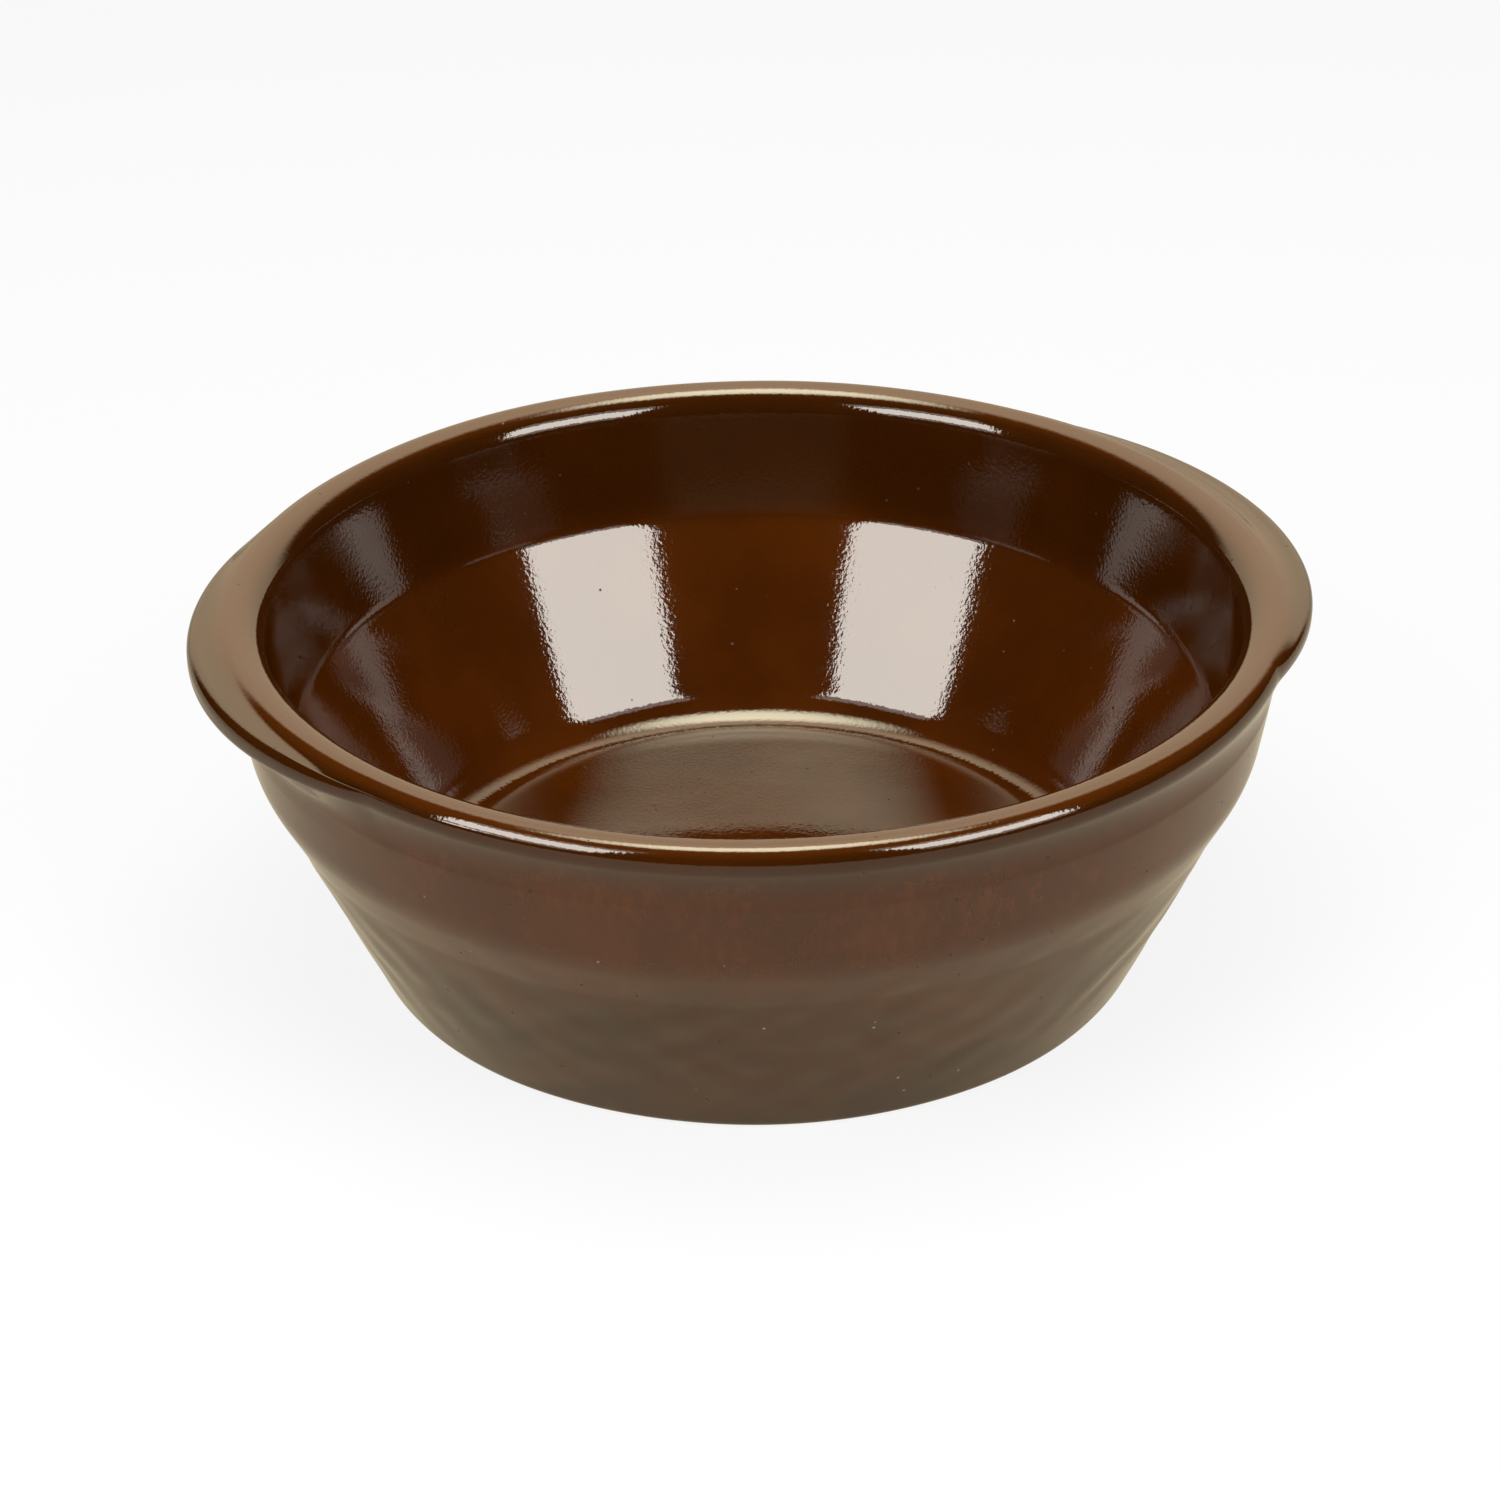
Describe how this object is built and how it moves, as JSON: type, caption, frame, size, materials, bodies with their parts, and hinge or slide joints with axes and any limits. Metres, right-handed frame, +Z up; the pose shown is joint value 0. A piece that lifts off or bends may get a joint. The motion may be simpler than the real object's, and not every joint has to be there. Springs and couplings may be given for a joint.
{
  "type": "cassoulet dish",
  "caption": "Round brown-glazed terracotta cassoulet dish with a tapered lower wall, an upright collar, a rolled rim and shallow crescent lugs for lifting.",
  "frame": {"origin": "centre of the base, on the table", "axes": "+Z up along the dish's axis, +X through the middle of one lug"},
  "size_m": [0.234, 0.22, 0.0785],
  "materials": {
    "terracotta": "bare fired red earthenware, fine grog, matt",
    "inside_glaze": "glossy dark brown glaze with pinholes and a faint orange-peel surface",
    "outside_glaze": "glossy dark brown glaze, thinner than inside, with rusty streaks on the collar"
  },
  "bodies": {
    "root": {"clay_body": "terracotta", "left_lug": "terracotta", "right_lug": "terracotta", "inside_glaze": "inside_glaze", "outside_glaze": "outside_glaze", "left_lug_glaze": "outside_glaze", "right_lug_glaze": "outside_glaze"}
  },
  "joints": []
}
